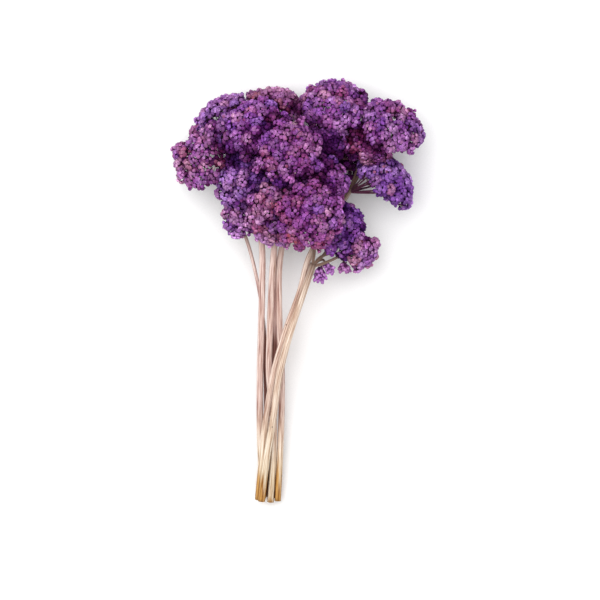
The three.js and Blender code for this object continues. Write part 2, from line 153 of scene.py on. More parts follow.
# Each head in millimetres. blush turns the dye from violet (0) to rose (1), faded bleaches it, rust
# is the share of clusters whose middles have turned orange brown, and thinned is the share of flowers
# that are gone. The uppermost come first: a head gives way to those listed before it.
HEADS = [
    Head(
        "head_centre_low", "stalk_7", "flowers_plum", at=(10, 58, 74), faces=(0.1, -0.25, 1),
        radius=29, rise=14, blush=0.62, faded=0.0, rust=0.12,
    ),
    Head(
        "head_centre_high", "stalk_4", "flowers_mauve", at=(-6, 109, 70), faces=(0.1, 0.05, 1),
        radius=28, rise=13, blush=0.55, faded=0.08, rust=0.1,
    ),
    Head(
        "head_lower_middle", "stalk_4", "flowers_rose", at=(-18, 60, 64), faces=(-0.15, -0.35, 0.95),
        radius=27, rise=13, blush=0.65, faded=0.7, rust=0.12,
    ),
    Head(
        "head_upper_left_front", "stalk_2", "flowers_purple", at=(-33, 130, 58), faces=(-0.1, 0.4, 0.9),
        radius=29, rise=14, blush=0.4, faded=0.1, rust=0.05,
    ),
    Head(
        "head_centre", "stalk_7", "flowers_purple", at=(20, 86, 58), faces=(0.35, 0.1, 0.95),
        radius=25, rise=12, blush=0.4, faded=0.05, rust=0.05,
    ),
    Head(
        "head_left", "stalk_1", "flowers_violet", at=(-45, 86, 54), faces=(-0.45, -0.05, 0.9),
        radius=26, rise=13, blush=0.2, faded=0.55, rust=0.02,
    ),
    Head(
        "head_lower_left", "stalk_2", "flowers_mauve", at=(-45.5, 55, 47.5), faces=(-0.35, -0.45, 0.8),
        radius=20, rise=10, blush=0.5, faded=0.95, rust=0.08, thinned=0.05,
        via=[(-36, 71, 35), (-38, 66, 31)],
    ),
    Head(
        "head_inner_right", "stalk_5", "flowers_violet", at=(24, 121, 50), faces=(0.1, 0.1, 1),
        radius=20, rise=9, blush=0.4, faded=0, rust=0.05,
    ),
    Head(
        "head_far_right", "stalk_6", "flowers_purple", at=(76.5, 133.5, 46), faces=(0.42, 0.6, 0.68),
        radius=29.5, rise=15, blush=0.45, faded=0.3, rust=0.06, thinned=0.03,
    ),
    Head(
        "head_far_left", "stalk_1", "flowers_mauve", at=(-78, 111, 40), faces=(-0.5, 0.3, 0.8),
        radius=30, rise=14, blush=0.55, faded=0.5, rust=0.06, thinned=0.12,
    ),
    Head(
        "head_top_right", "stalk_5", "flowers_purple", at=(31, 151, 44), faces=(0.1, 0.75, 0.65),
        radius=31, rise=15, blush=0.45, faded=0.3, rust=0.05,
    ),
    Head(
        "head_upper_left", "stalk_2", "flowers_purple", at=(-60.5, 137.5, 38), faces=(-0.5, 0.6, 0.62),
        radius=30, rise=15, blush=0.35, faded=0.85, rust=0.03, thinned=0.03,
    ),
    Head(
        "head_right_inner", "stalk_6", "flowers_rose", at=(58, 121, 46), faces=(0.15, -0.2, 0.95),
        radius=24, rise=12, blush=0.75, faded=0.1, rust=0.2,
    ),
    Head(
        "head_low_right_lobe", "stalk_7", "flowers_mauve", at=(54, 33, 33), faces=(0.75, -0.25, 0.6),
        radius=19, rise=12, blush=0.55, faded=0.6, rust=0.03, thinned=0.05,
        via=[(23, 23, 43), (33, 28, 36)],
    ),
    Head(
        "head_low_right", "stalk_7", "flowers_violet", at=(37.5, 49, 41), faces=(0.65, -0.05, 0.75),
        radius=25, rise=14, blush=0.15, faded=0, rust=0,
        via=[(24, 34, 37)],
    ),
    Head(
        "head_right", "stalk_6", "flowers_violet", at=(70.5, 89, 31), faces=(0.62, 0.75, 0.25),
        radius=29.5, rise=20.5, blush=0.0, faded=0.55, rust=0.02,
        via=[(46, 83, 29.6)], hub=(50, 83.8, 29.2), fan=0.95,
    ),
    Head(
        "head_top_left", "stalk_3", "flowers_rose", at=(-19, 149, 36), faces=(0.05, 0.8, 0.6),
        radius=30, rise=13, blush=0.7, faded=0.72, rust=0.1,
    ),
    Head(
        "head_under_left", "stalk_3", "flowers_mauve", at=(-32, 107, 12), faces=(-0.1, 0.2, -1),
        radius=32, rise=14, blush=0.5, faded=0.1, rust=0.05, thinned=0.25,
    ),
    Head(
        "head_under_right", "stalk_5", "flowers_purple", at=(31, 112, 12), faces=(0.2, 0.2, -1),
        radius=32, rise=14, blush=0.5, faded=0.1, rust=0.05, thinned=0.25,
    ),
    Head(
        "bud_cluster_left", "stalk_7", "flowers_mauve", at=(22, 15.5, 39), faces=(0, -1, 0.1),
        radius=9, rise=8, blush=0.3, faded=0.55, rust=0,
    ),
    Head(
        "bud_cluster_right", "stalk_7", "flowers_plum", at=(38, 18, 26), faces=(0.1, -1, 0.1),
        radius=7.5, rise=6.5, blush=0.5, faded=0.5, rust=0,
    ),
]

# How a head is set out, in millimetres

CLUSTER_PITCH = 11.2  # between the middles of a head's clusters
CLUSTER_SIZES = (0.55, 0.68)  # half the width of a cluster, as a share of the pitch
CLUSTER_DROP = 4.5  # how far a cluster's outer flowers hang below its middle
CLUSTER_LEAN = math.radians(50)  # how far they lean out
CLUSTER_SHIFT = 0.9  # how far a cluster strays from its place, to the side and in depth
CLUSTER_DEPTHS = 1.2
CLUSTER_WIDTHS = (0.82, 1.0)  # its width is multiplied by this, and its length divided
CLUSTER_TILT = 0.12
SMALL_HEAD_PITCH = 0.75  # the most that the pitch is, as a share of the head's radius
HEXAGON = 0.866  # the area that a cluster takes, as a share of its pitch squared
FLOWER_PITCH = 3.35  # between the middles of its flowers
FLOWER_DEPTHS = 0.6  # how unevenly deep they are
FLOWER_TURNS = 0.2  # how unevenly they look out
# how much the dye varies from cluster to cluster, and from flower to flower
CLUSTER_BLUSH = 0.18
CLUSTER_FADE = 0.22
FLOWER_BLUSH = 0.08
FLOWER_FADE = 0.1
# the share of flowers that are rusty in a rusty cluster, and in the others
RUSTY = 0.35
HARDLY_RUSTY = 0.01
FLOWER_SCALES = (0.8, 1.12)
FLOWER_HEIGHT = 3.4
SPREAD_FLOWERS = 0.4  # the share of flowers whose rays have opened flat
OLD_FLOWERS = 0.12  # the share of flowers that have faded more than their neighbours
OLD_FADE = 0.35
PROUD_FLOWERS = 0.07  # the share that stand out of their cluster
PROUD_HEIGHTS = (0.8, 2.2)
CRUMPLE = 0.13  # how far drying has moved each corner of a flower
PEDICEL_LENGTH = 6.0
VALLEY_FLOWERS = 3  # to each cluster, low down between it and the next
VALLEY_DEPTH = 7.5
VALLEY_SCALE = 1.35
# how dark the valley flowers are painted, as shade
VALLEY_SHADE = 1.2
BOUGHS = 6  # branches round a limb's end, each of which divides into those of its clusters
RIM_WAVE = 0.1
NECK_TAPER = 0.93  # a stem's radius at its crown, as a share of that at its foot
TABLE_GAP = 1.65  # the least height of a flower's middle over the table
PRESS_STEP = 0.7  # a pressed flower gives way in steps of this
PRESSED_RISE = 1.0  # and then rises this much between the others
# a head keeps this room over and round its flowers
ROOM_OVER = 0.3
ROOM_ROUND = 2.0
# a flower is in the shade of a higher head that is found this far toward it and this far up
SHADE_STEPS = ((6, 3, 0.8), (12, 6, 0.15))

# clusters that hang out of their head on long branches, each by its place and half its width
LOOSE_CLUSTERS = {
    "head_centre_high": [((-8, 84, 62), 6.5), ((-6, 79, 55), 6.0), ((-20, 84, 54), 6.0)],
    "head_centre_low": [((5, 54, 56), 6.5), ((20, 33, 60), 6.0)],
    "head_lower_middle": [
        ((-28, 38, 58), 5.5), ((-12, 37, 58), 5.5), ((-23.6, 55, 46), 6.5), ((-18, 42, 48), 6.5),
        ((-23.5, 34.5, 52), 4.0), ((-8, 33.5, 54), 4.5),
    ],
    "head_low_right": [((42, 31.5, 44), 6.0), ((50, 41, 46), 5.0)],
    "head_low_right_lobe": [((63, 24.5, 30), 5.0)],
    "head_upper_left": [((-79, 137.5, 40), 4.5)],
    "head_left": [((-50, 81, 38), 6.0), ((-61, 69, 38), 5.0)],
    "head_right": [((74, 73.5, 33), 4.0), ((81, 69.5, 33), 4.5), ((87.5, 66.5, 31), 4.5)],
    "head_top_right": [((1.5, 157, 34), 4.0)],
}

# where a head carries no flowers, because the light falls through to the table there
BARE_PLACES = {
    "head_under_right": [((40, 91), 9.0), ((46, 86), 7.0)],
    "head_inner_right": [((40, 91), 5.0)],
    "head_lower_left": [((-41, 37.5), 4.5), ((-48, 38), 3.5)],
    "head_low_right_lobe": [((61, 46), 5.5)],
    "head_upper_left": [((-72, 139.5), 4.5), ((-82, 131), 4.0)],
    "head_far_left": [((-94, 127), 8.0), ((-71, 98), 4.5), ((-93.5, 97), 4.0)],
}

# the deepest furrows between heads, where the flowers are painted dark as their shade: the middle and half
# width of each, and how dark it is
SHADED_FURROWS = [
    ((-54, 108), 13, 1.0),
    ((-62, 121), 12, 0.7),
    ((-2, 147), 8, 1.2),
    ((31, 118), 9, 0.9),
    ((38, 108), 8, 1.2),
    ((-27, 94), 5, 1.0),
    ((-37, 66), 6, 0.5),
]

# sprays of long flowers on bare pale pedicels, seen from the side: where each divides, the middle
# of its flowers, their number, and how far they spread
SPRAYS = {
    "head_centre_high": [
        ((-1, 95, 76), (-6, 87.5, 77.5), 6, 3.6), ((-27, 100, 73), (-33, 95.5, 71), 5, 3.0),
        ((-6, 131, 72), (4, 135, 72), 4, 3.4),
    ],
    "head_far_left": [((-88, 99, 44), (-94, 93, 42), 4, 3.2), ((-66, 99, 50), (-72, 92, 48), 4, 3.0)],
    "head_far_right": [((84, 118, 52), (90, 112, 50), 4, 3.2)],
    "bud_cluster_left": [
        ((20, 22.5, 39), (18, 10.5, 40), 15, 5.6), ((22.5, 22.5, 38), (26.2, 17.2, 37.5), 11, 4.6),
    ],
    "bud_cluster_right": [
        ((37.5, 22.5, 26), (35.8, 18, 26.5), 8, 3.6), ((37.8, 22, 25), (40.8, 17.2, 25), 8, 3.2),
    ],
}
ALL_SPRAYS = ("bud_cluster_left", "bud_cluster_right")  # these have no dome
SPRAY_STRETCH = 1.8  # how much longer a spray's flowers are than those of a dome


def to_way(out, angle):
    """The direction that leans out from +Z by one angle and turns round it by the other."""
    return Vector((math.sin(out) * math.cos(angle), math.sin(out) * math.sin(angle), math.cos(out)))


def even_spiral(lean, count):
    """Evenly spread directions over a ball's cap."""
    for k in range(count):
        height = 1 - (1 - math.cos(lean)) * (k + 0.5) / count
        yield to_way(math.acos(height), k * GOLDEN_ANGLE)


def holds(head, point):
    """Whether a point is in the room that a head fills: its dome, and under that a cone which narrows
    from the dome's rim to about the end of its limb."""
    out = point - head.centre
    reach = out.length
    if reach > head.ball + ROOM_OVER:
        return False
    height = out.dot(head.axis)
    spread = head.lean * (1 + RIM_WAVE) + ROOM_ROUND / head.ball
    if height < reach * math.cos(spread):
        return False
    inner = head.ball - head.relief
    share = math.sqrt(max(reach**2 - height**2, 0)) / (math.sin(spread) * inner)
    return height > head.under + (math.cos(spread) * inner - head.under) * share


def pressed_reach(head, way, over):
    """How far out a way goes when the heads over this one press it down, or None if it is hidden."""
    out = head.turn @ way
    reach = head.ball
    while any(holds(other, head.centre + out * reach) for other in over):
        reach -= PRESS_STEP
        if reach < 0.5 * head.ball:
            return None
    return reach


def crowding(top, over):
    """How much a flower is shaded by the sides of the heads over its own, from 0 to 1."""
    share = 0.0
    for other in over:
        toward = other.centre - top
        toward.z = 0
        if toward.length < other.ball + 14:
            toward.normalize()
            for step, climb, shade in SHADE_STEPS:
                if holds(other, top + toward * step + UP * climb):
                    share += shade
                    break
    return min(1.0, share)


def furrow_shade(top):
    """How much painted shade a flower takes from lying deep in a furrow between heads."""
    total = 0
    for spot, room, dark in SHADED_FURROWS:
        total += dark * max(0, 1 - ((top.xy - Vector(spot)).length / room) ** 2)
    return total


def first_draw(seed):
    """The first seeded draw of the part's own flowers, from 0 to 1, which waves a head's rim."""
    state = (seed + 0x6D2B79F5) & WORD
    mixed = ((state ^ (state >> 15)) * (1 | state)) & WORD
    mixed = ((mixed + (((mixed ^ (mixed >> 7)) * (61 | mixed)) & WORD)) & WORD) ^ mixed
    return ((mixed ^ (mixed >> 14)) & WORD) / (WORD + 1)


def near_one(value):
    """A share kept between 0 and 1."""
    return min(1, max(0, value))


def flower_on(head, way, depth, look, reach, shade, draw):
    """One flower of a cluster: where its top is, where it looks and how it took the dye."""
    top = head.centre + (head.turn @ way) * min(head.ball - depth, reach + PRESSED_RISE)
    top.z = max(top.z, TABLE_GAP)
    facing = head.turn @ look
    scale = draw.uniform(*FLOWER_SCALES)
    # near the table a flower looks no further up than its foot has room for
    facing.z = min(facing.z, (top.z - 0.5 * TABLE_GAP) / (FLOWER_HEIGHT * scale))
    facing.normalize()
    old = OLD_FADE if draw.uniform() < OLD_FLOWERS else 0.0
    return {
        "top": top,
        "facing": facing,
        "foot": top - facing * (FLOWER_HEIGHT * scale),
        "scale": scale,
        "stretch": 1.0,
        "spin": draw.uniform(0, 2 * math.pi),
        "kind": int(draw.uniform() < SPREAD_FLOWERS),
        "tone": draw.uniform(),
        "blush": near_one(shade["blush"] + draw.normal(0, FLOWER_BLUSH)),
        "fade": near_one(shade["fade"] + draw.normal(0, FLOWER_FADE) + old),
        "rust": draw.uniform(0.4, 1.0) * (draw.uniform() < shade["rust"]),
    }


def cluster_on(head, over, middle, level, size, draw):
    """The flowers of one little dome, in the order of a sunflower's, hanging lower toward its edge."""
    angle = draw.uniform(0, math.pi)
    wide = draw.uniform(*CLUSTER_WIDTHS)
    first = middle.orthogonal().normalized()
    side = first * math.cos(angle) + middle.cross(first) * math.sin(angle)
    ahead = middle.cross(side) * wide
    side = side / wide
    tilt = Vector((draw.normal(0, CLUSTER_TILT), draw.normal(0, CLUSTER_TILT), 0))
    count = max(4, round((size / (0.53 * FLOWER_PITCH)) ** 2 * (1 - head.thinned)))
    shade = {
        "blush": head.blush + draw.normal(0, CLUSTER_BLUSH),
        "fade": head.faded + draw.normal(0, CLUSTER_FADE),
        "rust": RUSTY if draw.uniform() < head.rust else HARDLY_RUSTY,
    }
    flowers = []
    for k in range(count):
        share = math.sqrt((k + 0.5) / count)
        angle = k * GOLDEN_ANGLE + draw.normal(0, 0.12)
        out = side * (math.cos(angle) * share * size) + ahead * (math.sin(angle) * share * size)
        way = (middle * (head.ball - level) + out).normalized()
        proud = draw.uniform(*PROUD_HEIGHTS) if draw.uniform() < PROUD_FLOWERS else 0.0
        depth = level + CLUSTER_DROP * share**2.4 + abs(draw.normal(0, FLOWER_DEPTHS)) - proud
        look = (middle + tilt + out.normalized() * (math.tan(CLUSTER_LEAN) * share)).normalized()
        look = (look + Vector(draw.normal(0, FLOWER_TURNS, 3))).normalized()
        reach = pressed_reach(head, way, over)
        if reach is not None:
            flower = flower_on(head, way, depth, look, reach, shade, draw)
            # painted shade: a flower is darker the lower it hangs in its cluster, under the sides of higher
            # heads and in the furrows; the sun has faded some heads all over, down into their shade
            shadow = 1.1 * (1.15 - head.faded) * crowding(flower["top"], over) + furrow_shade(flower["top"])
            flowers.append(flower | {"deep": share**2 + shadow})
    return flowers


def valley_on(head, over, middle, size, draw):
    """A few flowers low down round a cluster, painted dark as shade, which close the furrow to the next one.
    """
    shade = {"blush": head.blush, "fade": 0.0, "rust": 0.0}
    flowers = []
    for k in range(VALLEY_FLOWERS):
        angle = 2 * math.pi * (k + draw.uniform()) / VALLEY_FLOWERS
        side = middle.orthogonal().normalized() * math.cos(angle)
        side += middle.cross(middle.orthogonal().normalized()) * math.sin(angle)
        way = (middle * (head.ball - VALLEY_DEPTH) + side * (size * draw.uniform(0.75, 1.0))).normalized()
        if UP.angle(way) > head.lean:
            continue
        reach = pressed_reach(head, way, over)
        if reach is not None:
            look = (way + Vector(draw.normal(0, 0.3, 3))).normalized()
            flower = flower_on(head, way, VALLEY_DEPTH, look, reach - 3, shade, draw)
            flowers.append(flower | {"deep": VALLEY_SHADE, "scale": VALLEY_SCALE * flower["scale"]})
    return flowers


def spray(head, root, middle, count, spread, draw):
    """The flowers of a loose spray, fanned out and looking away from where it divides."""
    flowers = []
    for k in range(count):
        out = math.sqrt((k + 0.5) / count) * spread
        angle = k * GOLDEN_ANGLE
        top = middle + Vector((math.cos(angle) * out, math.sin(angle) * out, draw.normal(0, 0.5)))
        facing = (top - root + Vector(draw.normal(0, 1.2, 3))).normalized()
        scale = draw.uniform(0.8, 0.95)
        flower = {
            "top": top,
            "facing": facing,
            "foot": top - facing * (FLOWER_HEIGHT * scale * SPRAY_STRETCH),
            "scale": scale,
            "stretch": SPRAY_STRETCH,
            "spin": draw.uniform(0, 2 * math.pi),
            "kind": 0,
            "tone": draw.uniform(0.5, 1.0),
            "blush": min(1, head.blush + 0.1),
            "fade": draw.uniform(0.5, 1.0) * head.faded,
            "rust": 0.0,
            "deep": 0.0,
        }
        flowers.append(flower)
    return flowers


def set_out(head, over, limb, draw):
    """The boughs of a head: where each leaves the limb, where it divides, and its clusters, each with
    the knot that its pedicels spring from."""
    area = 2 * math.pi * head.ball**2 * (1 - math.cos(head.lean))
    pitch = min(CLUSTER_PITCH, SMALL_HEAD_PITCH * head.radius)
    count = max(3, round(area / (HEXAGON * pitch**2)))
    phase = first_draw(HEADS.index(head) + 1) * 2 * math.pi
    clusters = []
    for middle in even_spiral(head.lean, 0 if head.name in ALL_SPRAYS else count):
        level = abs(draw.normal(0, CLUSTER_DEPTHS))
        stray = Vector((draw.normal(0, 1), draw.normal(0, 1), 0)) * (CLUSTER_SHIFT / head.ball)
        middle = (middle + stray).normalized()
        edge = head.lean * (1 + RIM_WAVE * math.sin(3 * math.atan2(middle.y, middle.x) + phase))
        if UP.angle(middle) > edge:
            middle = to_way(edge, math.atan2(middle.y, middle.x))
        place = head.centre + (head.turn @ middle) * head.ball
        if any((place.xy - Vector(spot)).length < room for spot, room in BARE_PLACES.get(head.name, ())):
            continue
        size = pitch * draw.uniform(*CLUSTER_SIZES)
        flowers = cluster_on(head, over, middle, level, size, draw)
        clusters.append((middle, flowers + valley_on(head, over, middle, size, draw), level))
    for place, size in LOOSE_CLUSTERS.get(head.name, ()):
        out = head.turn.inverted() @ (Vector(place) - head.centre)
        level = head.ball - out.length
        clusters.append((out.normalized(), cluster_on(head, (), out.normalized(), level, size, draw), level))
    boughs = {}
    for middle, flowers, level in clusters:
        if flowers:
            knot = head.centre + (head.turn @ middle) * (head.ball - level - FLOWER_HEIGHT - PEDICEL_LENGTH)
            knot.z = max(knot.z, TABLE_GAP)
            side = math.floor(math.atan2(middle.y, middle.x) / (2 * math.pi) * BOUGHS)
            outer = UP.angle(middle) > 0.3 * head.lean
            boughs.setdefault((outer, side if outer else 0), []).append((flowers, knot))
    for (outer, _), held in boughs.items():
        root = limb[round((1 - head.fan * outer) * (len(limb) - 1))]
        middle = sum((knot for _, knot in held), Vector()) / len(held)
        yield root, root.lerp(middle, 0.6 if outer else 0.3), held


# Modelling by hand, at a thousand times life size, so that no operator's small limits matter


def deselect_all():
    """Leave edit mode, with nothing selected."""
    if bpy.context.object and bpy.context.object.mode != "OBJECT":
        bpy.ops.object.mode_set(mode="OBJECT")
    bpy.ops.object.select_all(action="DESELECT")


def pick(kind, test):
    """In edit mode, select only the faces or vertices that pass the test."""
    mesh = bmesh.from_edit_mesh(bpy.context.object.data)
    bpy.ops.mesh.select_mode(type=kind)
    bpy.ops.mesh.select_all(action="DESELECT")
    for element in mesh.faces if kind == "FACE" else mesh.verts:
        if test(element):
            element.select_set(True)
    mesh.select_flush_mode()
    bmesh.update_edit_mesh(bpy.context.object.data)


def flower_by_hand(spread, notch, droop):
    """One small flower head: a cup of bracts and five rounded rays about a domed middle."""
    deselect_all()
    bpy.ops.mesh.primitive_cone_add(
        vertices=10, radius1=0.45, radius2=1.3, depth=1.5, location=(0, 0, -2.55), end_fill_type="NGON"
    )
    bpy.ops.object.transform_apply(location=True)
    bpy.ops.object.mode_set(mode="EDIT")
    pick("FACE", lambda f: f.normal.z > 0.9)
    for rise, widen in ((1.2, spread / 1.3), (0.75, 1.15 / spread)):
        bpy.ops.mesh.extrude_region_move(TRANSFORM_OT_translate={"value": (0, 0, rise)})
        bpy.ops.transform.resize(value=(widen, widen, 1))
    bpy.ops.mesh.poke(offset=0.32)

    def on_rim(vertex):
        return -0.7 < vertex.co.z < -0.5

    def between_rays(vertex):
        return round(math.atan2(vertex.co.y, vertex.co.x) / (2 * math.pi) * 10) % 2 == 1

    pick("VERT", lambda v: on_rim(v) and not between_rays(v))
    bpy.ops.transform.translate(value=(0, 0, droop))
    pick("VERT", lambda v: on_rim(v) and between_rays(v))
    bpy.ops.transform.resize(value=(notch, notch, 1), center_override=(0, 0, -0.6))
    bpy.ops.transform.translate(value=(0, 0, -0.25))
    pick("VERT", lambda v: 0.1 < v.co.z < 0.2 and between_rays(v))
    bpy.ops.transform.translate(value=(0, 0, -0.14))
    bpy.ops.object.mode_set(mode="OBJECT")
    return bpy.context.object


def cut_across(length, cuts):
    """Settle a standing prism or cone in its place and cut it across, so that it can bend."""
    bpy.ops.object.transform_apply(location=True)
    bpy.ops.object.mode_set(mode="EDIT")
    mesh = bmesh.from_edit_mesh(bpy.context.object.data)
    bpy.ops.mesh.select_mode(type="EDGE")
    bpy.ops.mesh.select_all(action="DESELECT")
    for edge in mesh.edges:
        if abs(edge.verts[0].co.z - edge.verts[1].co.z) > 0.5 * length:
            edge.select_set(True)
    bmesh.update_edit_mesh(bpy.context.object.data)
    bpy.ops.mesh.subdivide(number_cuts=cuts)
    bpy.ops.object.mode_set(mode="OBJECT")


def twig_by_hand(sides, cuts):
    """One straight twig, from 0 to 1 along Z and one across, to be laid along a branch."""
    deselect_all()
    bpy.ops.mesh.primitive_cone_add(
        vertices=sides, radius1=1, radius2=0.75, depth=1, location=(0, 0, 0.5), end_fill_type="NGON"
    )
    cut_across(1, cuts)
    return bpy.context.object


def read_mesh(thing):
    """A hand-made mesh's vertices and faces, ready for copying; the mesh itself goes."""
    vertices = np.array([v.co[:] for v in thing.data.vertices])
    faces = [tuple(p.vertices) for p in thing.data.polygons]
    bpy.data.objects.remove(thing, do_unlink=True)
    return vertices, faces


class Growth:
    """A mesh that gathers copies, with one number for each attribute at each vertex."""

    def __init__(self):
        self.vertices = []
        self.faces = []
        self.slots = []
        self.smooth = []
        self.attributes = {}
        self.count = 0

    def add(self, vertices, faces, slot, smooth, **attributes):
        """Take in one copy, with one number or an array for each attribute."""
        self.vertices.append(vertices)
        self.faces += [tuple(i + self.count for i in f) for f in faces]
        self.slots += [slot] * len(faces)
        self.smooth += [smooth] * len(faces)
        for name, value in attributes.items():
            values = np.broadcast_to(np.asarray(value, dtype=float), (len(vertices),))
            self.attributes.setdefault(name, []).append((self.count, values))
        self.count += len(vertices)

    def piece(self, name, materials):
        """The finished object, in metres."""
        mesh = bpy.data.meshes.new(name)
        mesh.from_pydata((np.concatenate(self.vertices) * MM).tolist(), [], self.faces)
        mesh.polygons.foreach_set("material_index", self.slots)
        mesh.polygons.foreach_set("use_smooth", self.smooth)
        for attribute, parts in self.attributes.items():
            values = np.zeros(self.count)
            for start, part in parts:
                values[start : start + len(part)] = part
            mesh.attributes.new(attribute, "FLOAT", "POINT").data.foreach_set("value", values)
        for material in materials:
            mesh.materials.append(material)
        mesh.update()
        made = bpy.data.objects.new(name, mesh)
        bpy.context.collection.objects.link(made)
        return made


def frame_to(direction, spin=0.0):
    """The turn that takes +Z to a direction."""
    return np.array((UP.rotation_difference(direction) @ Quaternion(UP, spin)).to_matrix())


def along(points, share):
    """A place on the smooth curve through three points that a branch bends along."""
    a, b, c = (np.array(p) for p in points)
    share = share[:, None]
    return a * (1 - share) ** 2 + 2 * b * share * (1 - share) + c * share**2


def add_twig(growth, template, points, thick, tone):
    """Add the twig bent along a curve, thick at its foot."""
    vertices, faces = template
    turn = frame_to(Vector(points[2]) - Vector(points[0]))
    place = along(points, vertices[:, 2]) + (vertices * (thick, thick, 0)) @ turn.T
    growth.add(place, faces, 1, False, tone=tone)


# Finishes


def linear(hex_colour):
    """An sRGB hex colour as linear RGBA."""
    parts = [int(hex_colour[i : i + 2], 16) / 255 for i in (1, 3, 5)]
    return (*[c / 12.92 if c <= 0.04045 else ((c + 0.055) / 1.055) ** 2.4 for c in parts], 1)


def node(tree, kind, inputs=None, stops=(), **settings):
    """Add a node. An input takes a value or the output that feeds it, and stops colour a ramp. A mix of
    colours takes its share at input 0 and its colours at 6 and 7, and gives the mixed one at output 2."""
    made = tree.nodes.new(kind)
    for name, value in settings.items():
        setattr(made, name, value)
    for name, value in (inputs or {}).items():
        if isinstance(value, bpy.types.NodeSocket):
            tree.links.new(value, made.inputs[name])
        else:
            made.inputs[name].default_value = value
    if stops:
        elements = made.color_ramp.elements
        while len(elements) < len(stops):
            elements.new(0.5)
        for element, (place, colour) in zip(elements, stops):
            element.position = place
            element.color = linear(colour)
    return made


def new_material(name, roughness, gloss=0.2):
    """A material with its node tree and its shader."""
    material = bpy.data.materials.new(name)
    material.use_nodes = True
    shader = material.node_tree.nodes["Principled BSDF"]
    shader.inputs["Roughness"].default_value = roughness
    shader.inputs["Specular IOR Level"].default_value = gloss
    return material, material.node_tree, shader


def dyed_petals():
    """Dry petals, papery and matt, dyed in a bath and bleached thin at the tips. The cup, the notches between
    the rays and the flowers low down are painted dark as their shade, and the top flowers are painted
    lighter.
    """
    material, tree, shader = new_material("dyed_dry_petals", 0.85, 0.05)
    blush, fade, rust, tone, painted_shade, lobe, middle = (
        node(tree, "ShaderNodeAttribute", attribute_name=name).outputs["Fac"]
        for name in ("blush", "fade", "rust", "tone", "deep", "lobe", "middle")
    )
    # the dye from the violet heads to the rose ones: a dark one for the painted shade in the cup and for the
    # disc, on a lobe, at a bleached tip, and a saturated dark plum for the painted shade of the flowers low
    # down
    deep, full, thin, shade_plum = (
        node(tree, "ShaderNodeValToRGB", {"Fac": blush}, tuple(zip((0.0, 0.5, 1.0), dyes))).outputs["Color"]
        for dyes in (
            ("#2a063e", "#380638", "#42062a"),
            ("#9550bc", "#a252b0", "#b05890"),
            ("#d4a4ea", "#e2b0e0", "#e8b8cc"),
            ("#641c92", "#801c84", "#921c60"),
        )
    )
    # painted shade: dark down in the cup and in the notches between the rays
    petal = node(tree, "ShaderNodeMix", {0: lobe, 6: deep, 7: full}, data_type="RGBA").outputs[2]
    bleach = node(tree, "ShaderNodeMath", {0: fade, 1: 0.85, 2: 0.12}, operation="MULTIPLY_ADD").outputs[0]
    bleach = node(tree, "ShaderNodeMath", {0: bleach, 1: lobe}, operation="MULTIPLY").outputs[0]
    petal = node(tree, "ShaderNodeMix", {0: bleach, 6: petal, 7: thin}, data_type="RGBA").outputs[2]
    # the dome of tiny disc flowers took more dye than the rays, and on some it has turned rust brown
    disc = node(tree, "ShaderNodeMix", {0: 0.45, 6: petal, 7: deep}, data_type="RGBA").outputs[2]
    disc = node(tree, "ShaderNodeMix", {0: rust, 6: disc, 7: linear("#84432e")}, data_type="RGBA").outputs[2]
    coloured = node(tree, "ShaderNodeMix", {0: middle, 6: petal, 7: disc}, data_type="RGBA").outputs[2]
    # painted shade: the flowers low down are mixed toward a saturated dark plum
    shade_mix = node(
        tree, "ShaderNodeMapRange", {"Value": painted_shade, "From Max": 1.6, "To Max": 0.9}
    ).outputs["Result"]
    coloured = node(tree, "ShaderNodeMix", {0: shade_mix, 6: coloured, 7: shade_plum}, data_type="RGBA").outputs[2]
    # each flower took the dye a little differently, and it pooled in patches of about 1 mm; then the flowers
    # low down are painted darker and the top ones lighter, as light and shade
    place = node(tree, "ShaderNodeTexCoord").outputs["Object"]
    pooled = node(tree, "ShaderNodeTexNoise", {"Vector": place, "Scale": 900.0, "Detail": 3.0}).outputs["Fac"]
    patch = node(
        tree, "ShaderNodeMapRange", {"Value": pooled, "From Min": 0.32, "From Max": 0.68}
    ).outputs["Result"]
    took = node(tree, "ShaderNodeMapRange", {"Value": tone, "To Min": 0.26, "To Max": 0.84}).outputs["Result"]
    took = node(tree, "ShaderNodeMath", {0: patch, 1: 0.75, 2: took}, operation="MULTIPLY_ADD").outputs[0]
    # painted light and shade: the top flowers lighter, the deep ones darker
    shaded = node(
        tree, "ShaderNodeMapRange", {"Value": painted_shade, "From Max": 1.6, "To Min": 1.22, "To Max": 0.2}
    ).outputs["Result"]
    took = node(tree, "ShaderNodeMath", {0: took, 1: shaded}, operation="MULTIPLY").outputs[0]
    final = node(tree, "ShaderNodeVectorMath", {0: coloured, "Scale": took}, operation="SCALE").outputs[0]
    tree.links.new(final, shader.inputs["Base Color"])
    bump = node(tree, "ShaderNodeBump", {"Height": pooled, "Strength": 0.5, "Distance": 0.0003})
    tree.links.new(bump.outputs["Normal"], shader.inputs["Normal"])
    return material


def dyed_twigs():
    """Thin dry woody branches that drank the dye: brown plum, here and there pale where it missed."""
    material, tree, shader = new_material("dyed_dry_twigs", 0.75)
    tone = node(tree, "ShaderNodeAttribute", attribute_name="tone").outputs["Fac"]
    colour = node(
        tree,
        "ShaderNodeValToRGB",
        {"Fac": tone},
        ((0.0, "#38122e"), (0.45, "#5e3046"), (0.8, "#84586a"), (1.0, "#cda9b4")),
    )
    tree.links.new(colour.outputs["Color"], shader.inputs["Base Color"])
    return material


